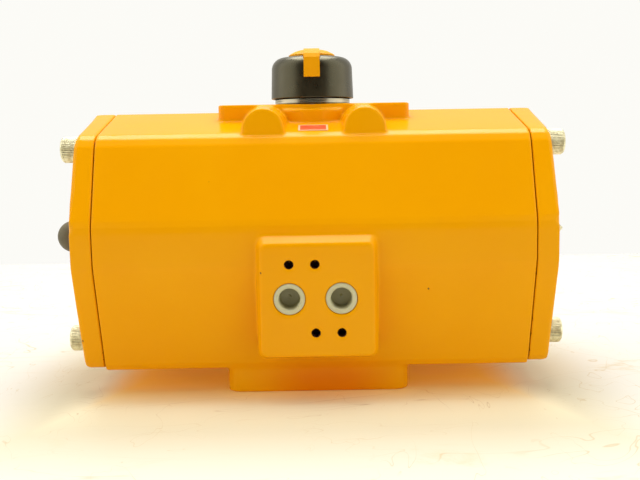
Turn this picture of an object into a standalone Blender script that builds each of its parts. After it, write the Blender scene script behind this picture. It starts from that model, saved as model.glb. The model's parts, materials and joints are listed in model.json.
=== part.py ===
"""Rotary pneumatic actuator: two opposed pistons turn a vertical pinion through racks.

The cylinder bore runs along X and the pinion along Z, and the air ports face -Y.  Every outline
is drawn in millimetres about the point where the two axes cross.  That point is also the origin
of every object, so each moving piece has its origin on its own joint axis.
"""
import math

import bmesh
import bpy
from mathutils import Matrix, Vector

MM = 0.001
GAP = 0.3  # play between two pieces that touch

# Where the two axes cross, above the middle of the whole actuator's footprint
AXIS_X = 2.5
AXIS_Y = 2.55
AXIS_Z = 73.4

# Housing: a ten-sided casting, described by its front half seen along the bore
BORE_R = 50.0
BODY_HALF = 103.1
RIDGE_Z = 64.0
SHOULDER_Y, SHOULDER_Z = 46.9, 51.6
SIDE_Y, SIDE_TOP_Z, SIDE_LOW_Z = 62.3, 10.3, -8.8
BELLY_Y, BELLY_Z = 46.8, -61.9
CAP_BELLY_Z = -60.4
FOOT_X, FOOT_HALF_X, FOOT_HALF_Y, FOOT_FILLET = 0.65, 44.5, 45.5, 1.7
PLATFORM_X, PLATFORM_HALF_X, PLATFORM_HALF_Y, PLATFORM_Z = 0.6, 48.1, 20.5, 67.0
BOSS_R, BOSS_Z = 26.0, 64.4
LUG_MIDDLE_X, LUG_X, LUG_Z, LUG_R, LUG_FACE_Y = 0.6, 24.3, 54.2, 10.1, -44.5
LUG_ROOT_R, LUG_ROOT_Y = 12.1, -18.0

# Solenoid-valve pad on the front, to the usual 24 x 32 mm interface
PAD_X, PAD_Z, PAD_HALF, PAD_FACE_Y = 0.95, -24.3, 26.2, -67.4
PAD_DRAFT, PAD_TOP_DRAFT = 2.0, 3.6
PORT_X, PORT_Z, PORT_R, PORT_DEPTH = 12.0, -23.6, 6.6, 12.5
PORT_RECESS_R, PORT_RECESS = 7.5, 1.3
VALVE_SCREW_X, VALVE_SCREW_Z = 12.0, 16.0
GALLERY_Y, GALLERY_Z, GALLERY_END_X, AIRWAY_R = -54.6, -13.5, 97.0, 2.5

# Accessory platform 80 x 30 and valve foot: F07, four M8 on 70 mm, 55 mm spigot recess
ACCESSORY_X, ACCESSORY_Y = 40.0, 15.0
WASHER_RECESS_R, WASHER_RECESS = 19.75, 0.5
FOOT_BOLT = 35.0 * math.cos(math.radians(45))
SPIGOT_R, SPIGOT_DEPTH = 27.5, 3.2
M5_HOLE_R, M8_HOLE_R = 2.1, 3.4

# End caps and their bolts
CAP_INNER_X = BODY_HALF + GAP
CAP_FACE_X, CAP_EDGE_R = 113.3, 2.2
CROWN_R, CROWN_X, CROWN_EDGE_R = 162.0, 124.9, 56.0
SEAL_SEAT_R = 55.4
BOLT_Y, BOLT_Z, BOLT_R, BOLT_HEAD_R, BOLT_HEAD = 40.0, 46.1, 4.0, 6.2, 8.0
BOLT_HOLE_R = BOLT_R + GAP
SPOT_FACE_R, SPOT_FACE_X = 7.0, 111.9
BOLT_SOCKET_R, BOLT_SOCKET = 3.46, 4.0
BOLT_TIP_X = 86.0

# Rack and pinion: module 2, 20 teeth, so 90 degrees move each piston 31.4 mm
MODULE, TEETH, PRESSURE = 2.0, 20, math.radians(20)
PITCH_R = MODULE * TEETH / 2
ADDENDUM, DEDENDUM, BACKLASH = 2.0, 2.5, 0.2
GEAR_HALF = 13.0
STROKE = PITCH_R * math.pi / 2

# Pistons, shown with the pinion at its closed end
PISTON_IN_X, PISTON_OUT_X, PISTON_R = 40.0, 58.0, 49.2
SEAL_GROOVE_R, SEAL_GROOVE_IN_X, SEAL_GROOVE_OUT_X = 45.7, 51.4, 55.0
BAND_GROOVE_R, BAND_GROOVE_IN_X, BAND_GROOVE_OUT_X = 46.8, 43.0, 48.5
RACK_BACK_Y, RACK_END_X, RACK_START_X = 44.0, 38.5, -10.0
STOP_TIP_X = PISTON_OUT_X + STROKE + 0.5
STOP_R = 4.0
LEFT_STOP_END_X, RIGHT_STOP_SHOULDER_X = 134.2, 129.2
LOCK_NUT_R, LOCK_NUT_HIGH = 7.4, 4.0
COVER_R, COVER_WALL, COVER_TIP_X = 8.4, 0.65, 136.9

# Pinion shaft and its bearings
THRUST_SEAT_R, THRUST_SEAT_Z = 18.5, 64.7
NECK_R, TOP_R, FOOT_JOURNAL_R = 17.0, 14.0, 22.4
LOWER_BORE_R, UPPER_BORE_R = 25.0, 17.0
PINION_LOW_Z, PINION_TOP_Z = -72.9, 84.0
SOCKET_SQUARE, SOCKET_TOP_Z = 17.0, -50.0
STUB_R, STUB_Z, STUB_FLAT, STUB_FLAT_Z = 11.0, 73.4, 9.0, 75.5
# Grooves round the shaft: lower edge, upper edge and the radius at their floor
LOWER_SEAL_GROOVE = (-70.3, -67.1, 20.9)
UPPER_SEAL_GROOVE = (60.0, 63.2, 12.7)
SNAP_GROOVE = (70.05, 71.9, 12.5)
SNAP_RING_R, SNAP_RING_OPENING = 17.4, 20

# Position indicator
RING_R, RING_LOW_Z, RING_TOP_Z = 19.45, 67.3, 69.9
DIAL_R, DIAL_LOW_Z, DIAL_TOP_Z, DIAL_EDGE_R = 21.4, 70.2, 91.3, 6.0
HUB_R, HUB_EDGE_Z, HUB_TOP_Z, HUB_SINK = 12.0, 92.6, 95.1, 1.6
POINTER_HALF, POINTER_LOW_Z, POINTER_TOP_Z = 4.0, 80.2, 95.6
POINTER_THICK = 1.6
SCREW_HOLE_R, SCREW_R, SCREW_HEAD_R = 3.4, 3.0, 5.2

BORE_STEPS, ROUND_STEPS, SMALL_STEPS, HOLE_STEPS = 32, 24, 12, 8
SMOOTH = math.radians(32)

# Colour (linear), metallic, roughness
FINISHES = {
    "body_paint": ((0.82, 0.36, 0.005), 0.0, 0.32),
    "dial_plastic": ((0.035, 0.033, 0.027), 0.0, 0.42),
    "pointer_plastic": ((0.85, 0.38, 0.005), 0.0, 0.4),
    "zinc_steel": ((0.62, 0.58, 0.46), 1.0, 0.35),
    "washer_steel": ((0.7, 0.69, 0.64), 1.0, 0.25),
    "spring_steel": ((0.16, 0.16, 0.16), 1.0, 0.35),
    "pinion_steel": ((0.5, 0.5, 0.49), 1.0, 0.3),
    "piston_alloy": ((0.72, 0.73, 0.74), 1.0, 0.35),
    "seal_rubber": ((0.02, 0.02, 0.02), 0.0, 0.7),
    "bearing_plastic": ((0.75, 0.72, 0.62), 0.0, 0.45),
    "plug_plastic": ((0.62, 0.6, 0.48), 0.0, 0.35),
    "cover_plastic": ((0.12, 0.11, 0.085), 0.0, 0.5),
    "label_red": ((0.8, 0.12, 0.04), 0.0, 0.5),
}


# ---- Tools ---------------------------------------------------------------------------------

def finish(name):
    """Return the named material, making it the first time."""
    if name in bpy.data.materials:
        return bpy.data.materials[name]
    colour, metallic, roughness = FINISHES[name]
    material = bpy.data.materials.new(name)
    material.use_nodes = True
    surface = material.node_tree.nodes["Principled BSDF"]
    surface.inputs["Base Color"].default_value = (*colour, 1.0)
    surface.inputs["Metallic"].default_value = metallic
    surface.inputs["Roughness"].default_value = roughness
    material.diffuse_color = (*colour, 1.0)
    return material


def face_out(shape):
    """Turn a closed shape's faces outwards."""
    bmesh.ops.recalc_face_normals(shape, faces=shape.faces)
    if shape.calc_volume(signed=True) < 0:
        bmesh.ops.reverse_faces(shape, faces=shape.faces)


def body(name, shape, material=None):
    """Make an object from a shape in millimetres, with its origin where the axes cross."""
    face_out(shape)
    bmesh.ops.scale(shape, vec=(MM, MM, MM), verts=shape.verts)
    mesh = bpy.data.meshes.new(name)
    shape.to_mesh(mesh)
    shape.free()
    return place(name, mesh, material)


def place(name, mesh, material=None, turn=0.0):
    """Put a mesh in the scene, turned about the pinion's axis."""
    item = bpy.data.objects.new(name, mesh)
    item.location = (AXIS_X * MM, AXIS_Y * MM, AXIS_Z * MM)
    item.rotation_euler.z = turn
    bpy.context.collection.objects.link(item)
    if material:
        mesh.materials.clear()
        mesh.materials.append(finish(material))
        mesh.shade_smooth()
        mesh.set_sharp_from_angle(angle=SMOOTH)
    return item


def combine(target, shape, operation):
    """Join a shape to the target, or cut it away, and keep the result as the target's mesh."""
    tool = body("tool", shape)
    step = target.modifiers.new(operation, "BOOLEAN")
    step.operation = operation
    step.solver = "EXACT"
    step.object = tool
    bpy.context.view_layer.update()
    result = bpy.data.meshes.new_from_object(
        target.evaluated_get(bpy.context.evaluated_depsgraph_get()))
    target.modifiers.remove(step)
    target.data = result
    result.name = target.name
    bpy.data.objects.remove(tool)


def join(target, shape):
    combine(target, shape, "UNION")


def cut(target, shape):
    combine(target, shape, "DIFFERENCE")


def coat(target, material):
    """Give a finished casting its material and its smooth shading."""
    target.data.materials.clear()
    target.data.materials.append(finish(material))
    target.data.shade_smooth()
    target.data.set_sharp_from_angle(angle=SMOOTH)


def along(axis, point):
    """Place an outline point (u, v) and its distance w along the named axis."""
    u, v, w = point
    return {"X": Vector((w, u, v)), "Y": Vector((u, w, v)), "Z": Vector((u, v, w))}[axis]


def loft(axis, sections):
    """Skin a solid through outlines of equal length; a section is (distance, outline)."""
    shape = bmesh.new()
    loops = []
    for distance, outline in sections:
        loops.append([shape.verts.new(along(axis, (u, v, distance))) for u, v in outline])
    count = len(loops[0])
    for lower, upper in zip(loops, loops[1:]):
        for i in range(count):
            j = (i + 1) % count
            shape.faces.new((lower[i], lower[j], upper[j], upper[i]))
    shape.faces.new(loops[0])
    shape.faces.new(loops[-1])
    return shape


def prism(axis, outline, low, high):
    return loft(axis, [(low, outline), (high, outline)])


def turned(axis, profile, steps=ROUND_STEPS, at=(0.0, 0.0)):
    """Turn a profile of (radius, distance) points about an axis through the outline point."""
    shape = bmesh.new()
    verts = [shape.verts.new((radius, 0, distance)) for radius, distance in profile]
    pairs = list(zip(verts, verts[1:]))
    if profile[0][0] > 0:
        pairs.append((verts[-1], verts[0]))
    edges = [shape.edges.new(pair) for pair in pairs]
    bmesh.ops.spin(shape, geom=verts + edges, cent=(0, 0, 0), axis=(0, 0, 1),
                   angle=math.tau, steps=steps, use_merge=True)
    bmesh.ops.remove_doubles(shape, verts=shape.verts, dist=0.001)
    for vert in shape.verts:
        x, y, z = vert.co
        vert.co = along(axis, (x + at[0], y + at[1], z))
    return shape


def cylinder(axis, radius, low, high, at=(0.0, 0.0), steps=HOLE_STEPS):
    return turned(axis, [(0, low), (radius, low), (radius, high), (0, high)], steps, at)


def tube(axis, inner, outer, low, high, steps=ROUND_STEPS):
    return turned(axis, [(inner, low), (outer, low), (outer, high), (inner, high)], steps)


def together(shapes):
    """Put shapes that don't touch into one cutting tool."""
    result = bmesh.new()
    for shape in shapes:
        face_out(shape)
        mesh = bpy.data.meshes.new("part of a tool")
        shape.to_mesh(mesh)
        shape.free()
        result.from_mesh(mesh)
        bpy.data.meshes.remove(mesh)
    return result


def rounded(corners, steps=4):
    """Round each corner (u, v, radius) of an outline with an arc."""
    points = []
    for i, (u, v, radius) in enumerate(corners):
        corner = Vector((u, v))
        before = Vector(corners[i - 1][:2])
        after = Vector(corners[(i + 1) % len(corners)][:2])
        back = (before - corner).normalized()
        ahead = (after - corner).normalized()
        half = back.angle(ahead) / 2
        centre = corner + (back + ahead).normalized() * radius / math.sin(half)
        start = corner + back * radius / math.tan(half) - centre
        end = corner + ahead * radius / math.tan(half) - centre
        sweep = start.angle_signed(end)
        for k in range(steps + 1):
            arm = start.copy()
            arm.rotate(Matrix.Rotation(-sweep * k / steps, 2))
            points.append(tuple(centre + arm))
    return points


def regular(sides, radius, start=0.0):
    """The corners of a regular outline, the first one at the start angle."""
    angles = [start + math.tau * k / sides for k in range(sides)]
    return [(radius * math.cos(angle), radius * math.sin(angle)) for angle in angles]


def groove(shaft_r, place_and_floor):
    """The four profile points of a groove in a shaft."""
    low, high, floor_r = place_and_floor
    return [(shaft_r, low), (floor_r, low), (floor_r, high), (shaft_r, high)]


def rectangle(half_u, half_v, radius, centre=(0.0, 0.0), steps=3):
    u, v = centre
    return rounded([(u - half_u, v - half_v, radius), (u + half_u, v - half_v, radius),
                    (u + half_u, v + half_v, radius), (u - half_u, v + half_v, radius)], steps)


# ---- Castings ------------------------------------------------------------------------------

def ten_sided(belly_z):
    """The outline of the housing and its caps, seen along the bore."""
    front = [(-SHOULDER_Y, SHOULDER_Z, 9), (-SIDE_Y, SIDE_TOP_Z, 16), (-SIDE_Y, SIDE_LOW_Z, 16),
             (-BELLY_Y, belly_z, 5)]
    rear = [(-y, z, radius) for y, z, radius in reversed(front)]
    return rounded([(0, RIDGE_Z, 3)] + front + rear, steps=2)


def lug_outline(radius, centre_x, steps=10):
    """An arch: a half circle on two straight legs that end inside the housing."""
    arch = [(centre_x + radius * math.cos(math.pi * k / steps),
             LUG_Z + radius * math.sin(math.pi * k / steps)) for k in range(steps + 1)]
    return [(centre_x + radius, 44.0)] + arch + [(centre_x - radius, 44.0)]


def make_housing():
    housing = body("housing", prism("X", ten_sided(BELLY_Z), -BODY_HALF, BODY_HALF))
    flare = [(-AXIS_Z, 0.0), (BELLY_Z - FOOT_FILLET, 0.0), (BELLY_Z - 0.5, 0.5),
             (BELLY_Z + 0.2, FOOT_FILLET), (-56, FOOT_FILLET)]
    join(housing, loft("Z", [(z, rectangle(FOOT_HALF_X + out, FOOT_HALF_Y, 6, (FOOT_X, 0)))
                             for z, out in flare]))
    platform = rectangle(PLATFORM_HALF_X, PLATFORM_HALF_Y, 3, (PLATFORM_X, 0))
    join(housing, prism("Z", platform, 45, PLATFORM_Z))
    join(housing, cylinder("Z", BOSS_R, 44, BOSS_Z, steps=BORE_STEPS))
    for x in (LUG_MIDDLE_X - LUG_X, LUG_MIDDLE_X + LUG_X):
        join(housing, loft("Y", [(LUG_FACE_Y, lug_outline(LUG_R, x)),
                                 (LUG_ROOT_Y, lug_outline(LUG_ROOT_R, x))]))
    face = rectangle(PAD_HALF, PAD_HALF, 3, (PAD_X, PAD_Z))
    root = rectangle(PAD_HALF + PAD_DRAFT, PAD_HALF + (PAD_TOP_DRAFT + PAD_DRAFT) / 2, 3.5,
                     (PAD_X, PAD_Z + (PAD_TOP_DRAFT - PAD_DRAFT) / 2))
    join(housing, loft("Y", [(PAD_FACE_Y, face), (-SIDE_Y, root), (-53, root)]))
    cut(housing, cylinder("X", BORE_R, -110, 110, steps=BORE_STEPS))
    cut(housing, turned("Z", [(0, -45), (LOWER_BORE_R, -45), (LOWER_BORE_R, SPIGOT_DEPTH - AXIS_Z),
                              (SPIGOT_R, SPIGOT_DEPTH - AXIS_Z), (SPIGOT_R, -AXIS_Z - 5),
                              (0, -AXIS_Z - 5)]))
    recess_z = PLATFORM_Z - WASHER_RECESS
    cut(housing, turned("Z", [(0, 45), (UPPER_BORE_R, 45), (UPPER_BORE_R, THRUST_SEAT_Z),
                              (THRUST_SEAT_R, THRUST_SEAT_Z), (THRUST_SEAT_R, recess_z),
                              (WASHER_RECESS_R, recess_z), (WASHER_RECESS_R, PLATFORM_Z + 5),
                              (0, PLATFORM_Z + 5)]))
    cut(housing, together(port_holes() + threaded_holes()))
    cut(housing, together(long_airways()))
    cut(housing, together(cross_airways()))
    coat(housing, "body_paint")


def port_holes():
    """Each port is a deep hole with a shallow recess for a plug's lip or a sealing ring."""
    floor_y = PAD_FACE_Y + PORT_DEPTH
    step_y = PAD_FACE_Y + PORT_RECESS
    profile = [(0, PAD_FACE_Y - 5), (PORT_RECESS_R, PAD_FACE_Y - 5), (PORT_RECESS_R, step_y),
               (PORT_R, step_y), (PORT_R, floor_y), (0, floor_y)]
    return [turned("Y", profile, ROUND_STEPS, (x, PORT_Z)) for x in (-PORT_X, PORT_X)]


def threaded_holes():
    """Blind holes for the valve, the accessory, the foot and the cap bolts."""
    holes = []
    for x, z in ((-VALVE_SCREW_X, 1), (0, 1), (0, -1), (VALVE_SCREW_X, -1)):
        at = (x, PORT_Z + z * VALVE_SCREW_Z)
        holes.append(cylinder("Y", M5_HOLE_R, PAD_FACE_Y - 5, PAD_FACE_Y + 9, at))
    for x in (-1, 1):
        for y in (-1, 1):
            holes.append(cylinder("Z", M5_HOLE_R, PLATFORM_Z - 9, PLATFORM_Z + 5,
                                  (x * ACCESSORY_X, y * ACCESSORY_Y)))
            holes.append(cylinder("Z", M8_HOLE_R, -AXIS_Z - 5, -AXIS_Z + 14,
                                  (x * FOOT_BOLT, y * FOOT_BOLT)))
            for z in (-1, 1):
                ends = sorted((x * (BOLT_TIP_X - 1), x * (BODY_HALF + 5)))
                holes.append(cylinder("X", BOLT_HOLE_R, *ends, (y * BOLT_Y, z * BOLT_Z)))
    return holes


def long_airways():
    """The left port feeds the space between the pistons.

    The right port feeds both ends of the bore, through a gallery in the front wall.
    """
    port_floor = PAD_FACE_Y + PORT_DEPTH
    gallery = cylinder("X", AIRWAY_R, -GALLERY_END_X - 2, GALLERY_END_X + 2,
                       (GALLERY_Y, GALLERY_Z), steps=8)
    middle = cylinder("Y", AIRWAY_R, port_floor - 1, -40, (-PORT_X, PORT_Z), steps=8)
    return [gallery, middle]


def cross_airways():
    """The drillings that lead into the gallery and out of it."""
    riser = cylinder("Z", AIRWAY_R, PORT_Z, GALLERY_Z, (PORT_X, GALLERY_Y), steps=8)
    outlets = [cylinder("Y", AIRWAY_R, GALLERY_Y, -45, (x, GALLERY_Z), steps=8)
               for x in (-GALLERY_END_X, GALLERY_END_X)]
    return [riser] + outlets


def make_end_caps():
    """Two equal caps, each a ten-sided plate with a shallow crown and a pocket inside."""
    plate = prism("X", ten_sided(CAP_BELLY_Z), CAP_INNER_X, CAP_FACE_X)
    rim = [edge for edge in plate.edges if all(vert.co.x > CAP_FACE_X - 1 for vert in edge.verts)]
    bmesh.ops.bevel(plate, geom=rim, offset=CAP_EDGE_R, segments=2, profile=0.5,
                    affect="EDGES", clamp_overlap=False)
    right = body("right_end_cap", plate)
    edge_angle = math.asin(CROWN_EDGE_R / CROWN_R)
    crown = [(CROWN_R * math.sin(edge_angle * k / 2),
              CROWN_X - CROWN_R * (1 - math.cos(edge_angle * k / 2))) for k in range(3)]
    profile = crown + [(CROWN_EDGE_R + 1, CAP_FACE_X + 0.5), (CROWN_EDGE_R + 1, 110), (0, 110)]
    join(right, turned("X", profile, BORE_STEPS))
    seal_floor = CAP_INNER_X + 2.4
    pocket = [(9, 100), (SEAL_SEAT_R, 100), (SEAL_SEAT_R, seal_floor), (48, seal_floor),
              (46, 109), (9, 116.5)]
    cut(right, turned("X", pocket, BORE_STEPS))
    holes = [cylinder("X", BOLT_HOLE_R, 100, 120, (y * BOLT_Y, z * BOLT_Z))
             for y in (-1, 1) for z in (-1, 1)]
    cut(right, together(holes + [cylinder("X", STOP_R + GAP, 100, 130)]))
    spots = [cylinder("X", SPOT_FACE_R, SPOT_FACE_X, 120, (y * BOLT_Y, z * BOLT_Z))
             for y in (-1, 1) for z in (-1, 1)]
    cut(right, together(spots))
    coat(right, "body_paint")
    place("left_end_cap", right.data, turn=math.pi)
    ring = body("right_cap_seal", tube("X", SEAL_SEAT_R - 2.9, SEAL_SEAT_R - GAP,
                                       CAP_INNER_X + 0.1, seal_floor - GAP, BORE_STEPS),
                "seal_rubber")
    place("left_cap_seal", ring.data, turn=math.pi)


def make_cap_bolts():
    """Eight M8 socket-head bolts, one node each."""
    head_x = SPOT_FACE_X + GAP
    end_x = head_x + BOLT_HEAD
    shape = turned("X", [(0, BOLT_TIP_X), (BOLT_R, BOLT_TIP_X), (BOLT_R, head_x),
                         (BOLT_HEAD_R, head_x), (BOLT_HEAD_R, end_x - 0.7),
                         (BOLT_HEAD_R - 0.7, end_x), (0, end_x)], SMALL_STEPS)
    master = body("tool master", shape)
    cut(master, prism("X", regular(6, BOLT_SOCKET_R), end_x - BOLT_SOCKET, end_x + 2))
    coat(master, "zinc_steel")
    for side, turn in (("right", 0.0), ("left", math.pi)):
        for y, row in ((-1, "front" if side == "right" else "rear"),
                       (1, "rear" if side == "right" else "front")):
            for z, level in ((-1, "lower"), (1, "upper")):
                name = f"{side}_cap_bolt_{row}_{level}"
                bolt = place(name, master.data, turn=turn)
                shift = Matrix.Rotation(turn, 3, "Z") @ Vector((0, y * BOLT_Y, z * BOLT_Z))
                bolt.location += shift * MM
    bpy.data.objects.remove(master)


# ---- Travel stops --------------------------------------------------------------------------

def make_stops():
    end_x = -LEFT_STOP_END_X
    shape = turned("X", [(0, end_x), (STOP_R - 0.7, end_x), (STOP_R, end_x + 0.7),
                         (STOP_R, -STOP_TIP_X - 1), (STOP_R - 1, -STOP_TIP_X), (0, -STOP_TIP_X)],
                   SMALL_STEPS)
    body("left_stop_screw", shape, "zinc_steel")
    cone_x = RIGHT_STOP_SHOULDER_X
    shape = turned("X", [(0, STOP_TIP_X), (STOP_R - 1, STOP_TIP_X), (STOP_R, STOP_TIP_X + 1),
                         (STOP_R, cone_x), (1.0, cone_x + 2.4), (0.9, cone_x + 2.9),
                         (0, cone_x + 2.9)], SMALL_STEPS)
    body("right_stop_screw", shape, "zinc_steel")
    nut_low = -CROWN_X - GAP - LOCK_NUT_HIGH
    nut = body("left_lock_nut", prism("X", regular(6, LOCK_NUT_R), nut_low, -CROWN_X - GAP))
    cut(nut, cylinder("X", STOP_R + GAP, nut_low - 5, -CROWN_X + 5, steps=SMALL_STEPS))
    coat(nut, "zinc_steel")
    outer = dome_profile(COVER_R, -COVER_TIP_X, -CROWN_X - GAP)
    inner = dome_profile(COVER_R - COVER_WALL, COVER_WALL - COVER_TIP_X, -CROWN_X - GAP)
    cover = turned("X", outer + inner[::-1], SMALL_STEPS)
    body("left_screw_cover", cover, "cover_plastic")


def dome_profile(radius, tip_x, base_x, steps=4):
    """A hemisphere that carries on as a cylinder, from its tip to its base."""
    centre_x = tip_x + radius
    points = [(radius * math.sin(math.pi / 2 * k / steps),
               centre_x - radius * math.cos(math.pi / 2 * k / steps)) for k in range(steps + 1)]
    return points + [(radius, base_x)]


# ---- Pistons -------------------------------------------------------------------------------

def rack_outline():
    """The left piston's arm, seen from above: a straight back and a row of teeth."""
    pitch = math.pi * MODULE
    slope = math.tan(PRESSURE)
    half = (pitch - BACKLASH) / 4
    root_y = PITCH_R + DEDENDUM
    tip_y = PITCH_R - ADDENDUM + 0.05
    points = [(-PISTON_IN_X - 4, RACK_BACK_Y), (-PISTON_IN_X - 4, root_y)]
    tooth_x = pitch / 2 - pitch * 2
    while tooth_x + half + DEDENDUM * slope < RACK_END_X:
        if tooth_x - half > RACK_START_X:
            points += [(tooth_x - half - DEDENDUM * slope, root_y),
                       (tooth_x - half + ADDENDUM * slope, tip_y),
                       (tooth_x + half - ADDENDUM * slope, tip_y),
                       (tooth_x + half + DEDENDUM * slope, root_y)]
        tooth_x += pitch
    return points + [(RACK_END_X, root_y), (RACK_END_X, RACK_BACK_Y)]


def make_pistons():
    """Each piston is a disc with a rack; the right one is the left one turned half round."""
    inner, outer = -PISTON_IN_X, -PISTON_OUT_X
    profile = [(0, outer), (PISTON_R, outer)]
    profile += groove(PISTON_R, (-SEAL_GROOVE_OUT_X, -SEAL_GROOVE_IN_X, SEAL_GROOVE_R))
    profile += groove(PISTON_R, (-BAND_GROOVE_OUT_X, -BAND_GROOVE_IN_X, BAND_GROOVE_R))
    disc = turned("X", profile + [(PISTON_R, inner), (0, inner)], BORE_STEPS)
    piston = body("left_piston", disc)
    join(piston, prism("Z", rack_outline(), -GEAR_HALF, GEAR_HALF))
    coat(piston, "piston_alloy")
    ring = body("left_piston_seal",
                tube("X", SEAL_GROOVE_R + GAP, BORE_R - GAP, GAP - SEAL_GROOVE_OUT_X,
                     -SEAL_GROOVE_IN_X - GAP, BORE_STEPS), "seal_rubber")
    band = body("left_guide_band",
                tube("X", BAND_GROOVE_R + GAP, BORE_R - GAP, GAP - BAND_GROOVE_OUT_X,
                     -BAND_GROOVE_IN_X - GAP, BORE_STEPS), "bearing_plastic")
    shoe_low = RACK_BACK_Y + GAP
    shoe = body("left_rack_shoe", prism("Z", rectangle(16, 2.1, 0.8, (14, shoe_low + 2.1)), -9, 9),
                "bearing_plastic")
    for item in (piston, ring, band, shoe):
        place(item.name.replace("left", "right"), item.data, turn=math.pi)


# ---- Pinion --------------------------------------------------------------------------------

def gear_outline():
    """Involute teeth; each flank is drawn from its root to its tip."""
    base_r = PITCH_R * math.cos(PRESSURE)
    tip_r, root_r = PITCH_R + ADDENDUM, PITCH_R - DEDENDUM
    half_angle = (math.pi * MODULE - BACKLASH) / (4 * PITCH_R)
    flank = [(root_r, half_angle + math.tan(PRESSURE) - PRESSURE)]
    for k in range(4):
        radius = base_r + (tip_r - base_r) * k / 3
        turn = math.acos(min(1.0, base_r / radius))
        flank.append((radius, half_angle + math.tan(PRESSURE) - PRESSURE - math.tan(turn) + turn))
    points = []
    for tooth in range(TEETH):
        centre = math.tau * tooth / TEETH
        points += [(radius, centre - angle) for radius, angle in flank]
        points += [(radius, centre + angle) for radius, angle in reversed(flank)]
    return [(radius * math.cos(angle), radius * math.sin(angle)) for radius, angle in points]


def make_pinion():
    pinion = body("pinion", prism("Z", gear_outline(), -GEAR_HALF, GEAR_HALF))
    shaft = [(0, PINION_LOW_Z), (FOOT_JOURNAL_R, PINION_LOW_Z)]
    shaft += groove(FOOT_JOURNAL_R, LOWER_SEAL_GROOVE)
    shaft += [(FOOT_JOURNAL_R, -51), (NECK_R, -47), (NECK_R, -12), (TOP_R, 12)]
    shaft += groove(TOP_R, UPPER_SEAL_GROOVE) + groove(TOP_R, SNAP_GROOVE)
    shaft += [(TOP_R, STUB_Z - 0.8), (STUB_R, STUB_Z), (STUB_R, PINION_TOP_Z - 0.8),
              (STUB_R - 0.8, PINION_TOP_Z), (0, PINION_TOP_Z)]
    join(pinion, turned("Z", shaft, ROUND_STEPS))
    for turn in (0, math.pi / 4):
        square = regular(4, SOCKET_SQUARE / math.sqrt(2), turn)
        cut(pinion, prism("Z", square, PINION_LOW_Z - 5, SOCKET_TOP_Z))
    cut(pinion, cylinder("Z", SCREW_R + GAP, PINION_TOP_Z - 14, PINION_TOP_Z + 5,
                         steps=SMALL_STEPS))
    for side in (-1, 1):
        flat = rectangle(3, 14, 0.1, (side * (STUB_FLAT + 3), 0), steps=1)
        cut(pinion, prism("Z", flat, STUB_FLAT_Z, PINION_TOP_Z + 5))
    coat(pinion, "pinion_steel")


def make_bearings():
    body("lower_bushing", tube("Z", FOOT_JOURNAL_R + GAP, LOWER_BORE_R - GAP, -65.5, -53.5),
         "bearing_plastic")
    body("upper_bushing", tube("Z", TOP_R + GAP, UPPER_BORE_R - GAP, 50.6, 59.2),
         "bearing_plastic")
    for name, (low, high, floor_r), bore_r in (
            ("lower_pinion_seal", LOWER_SEAL_GROOVE, LOWER_BORE_R),
            ("upper_pinion_seal", UPPER_SEAL_GROOVE, UPPER_BORE_R)):
        body(name, tube("Z", floor_r + GAP, bore_r - GAP, low + GAP, high - GAP), "seal_rubber")
    body("thrust_ring", tube("Z", TOP_R + GAP, THRUST_SEAT_R - GAP, THRUST_SEAT_Z + GAP,
                             RING_LOW_Z - GAP), "bearing_plastic")
    body("steel_washer", tube("Z", TOP_R + GAP, RING_R, RING_LOW_Z, RING_TOP_Z),
         "washer_steel")
    low, high, floor_r = SNAP_GROOVE
    arc = [math.radians(SNAP_RING_OPENING + (360 - 2 * SNAP_RING_OPENING) * k / ROUND_STEPS)
           for k in range(ROUND_STEPS + 1)]
    outline = [((floor_r + GAP) * math.cos(a), (floor_r + GAP) * math.sin(a)) for a in arc]
    outline += [(SNAP_RING_R * math.cos(a), SNAP_RING_R * math.sin(a)) for a in reversed(arc)]
    body("snap_ring", prism("Z", outline, low + GAP, high - GAP), "spring_steel")


# ---- Position indicator --------------------------------------------------------------------

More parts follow.
